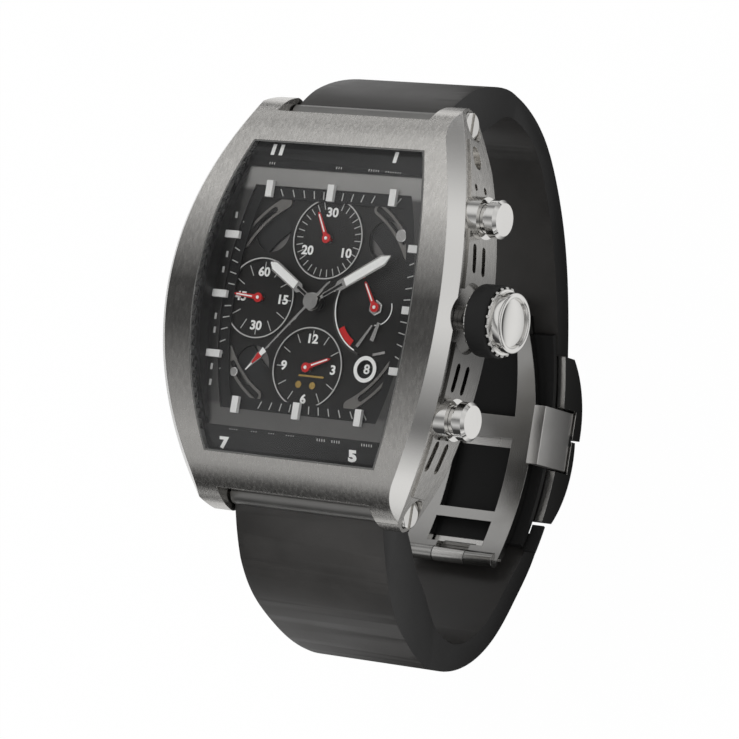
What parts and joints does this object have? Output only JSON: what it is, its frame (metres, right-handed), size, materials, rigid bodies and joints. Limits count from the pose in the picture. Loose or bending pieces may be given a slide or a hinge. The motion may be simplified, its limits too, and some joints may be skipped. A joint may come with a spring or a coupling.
{
  "type": "wristwatch",
  "caption": "Tonneau chronograph wristwatch with an open-worked dial, a steel case, a rubber strap and a folding clasp.",
  "frame": {"origin": "middle of the case back's flat outer face", "axes": "+Z out of the dial, +Y towards 12 o'clock, +X towards the crown"},
  "size_m": [0.0451, 0.0681, 0.0509],
  "materials": {
    "case_steel": "satin",
    "polished_steel": "polished",
    "clasp_steel": "fine satin",
    "sapphire": "clear",
    "black_rubber": "satin",
    "seal_rubber": "matte",
    "flange_black": "matte",
    "flange_grey": "satin",
    "track_black": "matte",
    "lume_white": "matte",
    "dial_dark": "fine grain",
    "bridge_grey": "satin",
    "ring_dark": "satin",
    "hand_steel": "polished",
    "hand_red": "gloss",
    "date_dark": "matte",
    "movement_grey": "satin",
    "movement_steel": "polished",
    "wheel_gold": "satin",
    "jewel_red": "gloss",
    "rotor_dark": "satin",
    "spring_steel": "satin"
  },
  "bodies": {
    "case": {"case_middle": "case_steel", "bezel": "case_steel", "crystal": "sapphire", "crystal_seal": "seal_rubber", "rehaut": "flange_black", "inner_flange": "flange_grey", "minute_track": "track_black", "hour_markers": "lume_white", "dial_plate": "dial_dark", "dial_bridges": "bridge_grey", "counter_rings": "ring_dark", "side_plate_crown": "case_steel", "side_plate_left": "case_steel", "lug_screws": "polished_steel", "case_back": "case_steel", "back_crystal": "sapphire", "case_back_screws": "polished_steel", "movement_holder": "movement_grey", "main_plate": "movement_grey", "barrel_bridge": "movement_grey", "train_bridge": "movement_grey", "balance_cock": "movement_grey", "jewels": "jewel_red", "movement_screws": "movement_steel", "crown_tube": "polished_steel", "pusher_tubes": "polished_steel", "pusher_springs": "spring_steel"},
    "hour_hand": {"hour_hand": "hand_steel"},
    "minute_hand": {"minute_hand": "hand_steel"},
    "chrono_hand": {"chrono_seconds_hand": "hand_steel"},
    "minute_counter": {"minute_counter_hand": "hand_red"},
    "hour_counter": {"hour_counter_hand": "hand_red"},
    "reserve_indicator": {"reserve_hand": "hand_red"},
    "small_seconds": {"small_seconds_hand": "hand_red", "fourth_wheel": "wheel_gold"},
    "date_ring": {"date_disc": "date_dark"},
    "third_wheel": {"third_wheel": "wheel_gold"},
    "centre_wheel": {"centre_wheel": "wheel_gold"},
    "barrel": {"mainspring_barrel": "wheel_gold"},
    "escape_wheel": {"escape_wheel": "movement_steel"},
    "balance": {"balance_wheel": "wheel_gold"},
    "clutch": {"clutch_wheel": "movement_steel"},
    "crown": {"crown": "polished_steel", "crown_grip": "black_rubber", "stem": "movement_steel"},
    "pusher_2": {"pusher_2": "polished_steel"},
    "pusher_4": {"pusher_4": "polished_steel"},
    "rotor": {"rotor": "rotor_dark"},
    "strap_12": {"strap_12": "black_rubber", "strap_tubes_12": "polished_steel", "clasp_cover_12": "clasp_steel", "button_springs": "spring_steel"},
    "strap_6": {"strap_6": "black_rubber", "strap_tubes_6": "polished_steel"},
    "bow": {"clasp_bow": "polished_steel", "clasp_hinge_pins": "polished_steel"},
    "cover_6": {"clasp_cover_6": "clasp_steel"},
    "button_right": {"button_right": "clasp_steel"},
    "button_left": {"button_left": "clasp_steel"}
  },
  "joints": [
    {"name": "minute_hand_turn", "type": "hinge", "parent": "case", "child": "minute_hand", "pos_m": [0, 0, 0.0098], "axis": [0, 0, -1], "continuous": true},
    {"name": "hour_hand_turn", "type": "hinge", "parent": "case", "child": "hour_hand", "pos_m": [0, 0, 0.0095], "axis": [0, 0, -1], "continuous": true},
    {"name": "chrono_hand_turn", "type": "hinge", "parent": "case", "child": "chrono_hand", "pos_m": [0, 0, 0.0102], "axis": [0, 0, -1], "continuous": true},
    {"name": "minute_counter_turn", "type": "hinge", "parent": "case", "child": "minute_counter", "pos_m": [0, 0.0074, 0.0091], "axis": [0, 0, -1], "continuous": true},
    {"name": "hour_counter_turn", "type": "hinge", "parent": "case", "child": "hour_counter", "pos_m": [0, -0.0074, 0.0091], "axis": [0, 0, -1], "continuous": true},
    {"name": "small_seconds_turn", "type": "hinge", "parent": "case", "child": "small_seconds", "pos_m": [-0.008, 0, 0.0091], "axis": [0, 0, -1], "continuous": true},
    {"name": "third_wheel_turn", "type": "hinge", "parent": "case", "child": "third_wheel", "pos_m": [-0.0052, 0.0043, 0.0053], "axis": [0, 0, -1], "continuous": true},
    {"name": "centre_wheel_turn", "type": "hinge", "parent": "case", "child": "centre_wheel", "pos_m": [0, 0, 0.0056], "axis": [0, 0, -1], "continuous": true},
    {"name": "escape_wheel_turn", "type": "hinge", "parent": "case", "child": "escape_wheel", "pos_m": [-0.007, -0.0046, 0.005], "axis": [0, 0, -1], "continuous": true},
    {"name": "barrel_turn", "type": "hinge", "parent": "case", "child": "barrel", "pos_m": [0.0056, -0.0062, 0.0054], "axis": [0, 0, -1], "continuous": true},
    {"name": "reserve_hand_turn", "type": "hinge", "parent": "case", "child": "reserve_indicator", "pos_m": [0.0079, 0.0001, 0.0091], "axis": [0, 0, -1], "range_deg": [-128, 4]},
    {"name": "date_ring_turn", "type": "hinge", "parent": "case", "child": "date_ring", "pos_m": [0, 0, 0.0081], "axis": [0, 0, -1], "continuous": true},
    {"name": "balance_swing", "type": "hinge", "parent": "case", "child": "balance", "pos_m": [-0.0026, -0.009, 0.005], "axis": [0, 0, -1], "range_deg": [-270, 270], "stiffness_Nm_per_rad": 0.0000005},
    {"name": "clutch_turn", "type": "hinge", "parent": "case", "child": "clutch", "pos_m": [0.0062, 0, 0.0076], "axis": [1, 0, 0], "continuous": true},
    {"name": "crown_pull", "type": "slide", "parent": "clutch", "child": "crown", "axis": [1, 0, 0], "range_m": [0, 0.0016]},
    {"name": "pusher_2_press", "type": "slide", "parent": "case", "child": "pusher_2", "axis": [-1, 0, 0], "range_m": [0, 0.0008], "stiffness_N_per_m": 1500},
    {"name": "pusher_4_press", "type": "slide", "parent": "case", "child": "pusher_4", "axis": [-1, 0, 0], "range_m": [0, 0.0008], "stiffness_N_per_m": 1500},
    {"name": "rotor_turn", "type": "hinge", "parent": "case", "child": "rotor", "pos_m": [0, 0, 0.0026], "axis": [0, 0, 1], "continuous": true},
    {"name": "clasp_unfold", "type": "hinge", "parent": "bow", "child": "cover_6", "pos_m": [0, -0.0245, -0.02788], "axis": [-1, 0, 0], "range_deg": [0, 60]},
    {"name": "bow_fold", "type": "hinge", "parent": "strap_12", "child": "bow", "pos_m": [0, 0.0055, -0.02788], "axis": [-1, 0, 0], "range_deg": [0, 12.4]},
    {"name": "strap_12_swing", "type": "hinge", "parent": "case", "child": "strap_12", "pos_m": [0, 0.0222, 0.0043], "axis": [1, 0, 0], "range_deg": [0, 6.2]},
    {"name": "strap_6_swing", "type": "hinge", "parent": "case", "child": "strap_6", "pos_m": [0, -0.0222, 0.0043], "axis": [-1, 0, 0], "range_deg": [0, 6.2]},
    {"name": "button_right_press", "type": "slide", "parent": "strap_12", "child": "button_right", "axis": [-1, 0, 0], "range_m": [0, 0.0006], "stiffness_N_per_m": 1500},
    {"name": "button_left_press", "type": "slide", "parent": "strap_12", "child": "button_left", "axis": [1, 0, 0], "range_m": [0, 0.0006], "stiffness_N_per_m": 1500}
  ],
  "couplings": [
    {"joint": "hour_hand_turn", "follows": "minute_hand_turn", "ratio": 0.083333},
    {"joint": "minute_counter_turn", "follows": "chrono_hand_turn", "ratio": 0.033333},
    {"joint": "hour_counter_turn", "follows": "chrono_hand_turn", "ratio": 0.0013889},
    {"joint": "third_wheel_turn", "follows": "small_seconds_turn", "ratio": -0.125},
    {"joint": "centre_wheel_turn", "follows": "small_seconds_turn", "ratio": 0.016667},
    {"joint": "escape_wheel_turn", "follows": "small_seconds_turn", "ratio": -10},
    {"joint": "barrel_turn", "follows": "small_seconds_turn", "ratio": -0.002381},
    {"joint": "bow_fold", "follows": "clasp_unfold", "ratio": 0.2},
    {"joint": "strap_12_swing", "follows": "clasp_unfold", "ratio": 0.1},
    {"joint": "strap_6_swing", "follows": "clasp_unfold", "ratio": 0.1}
  ]
}
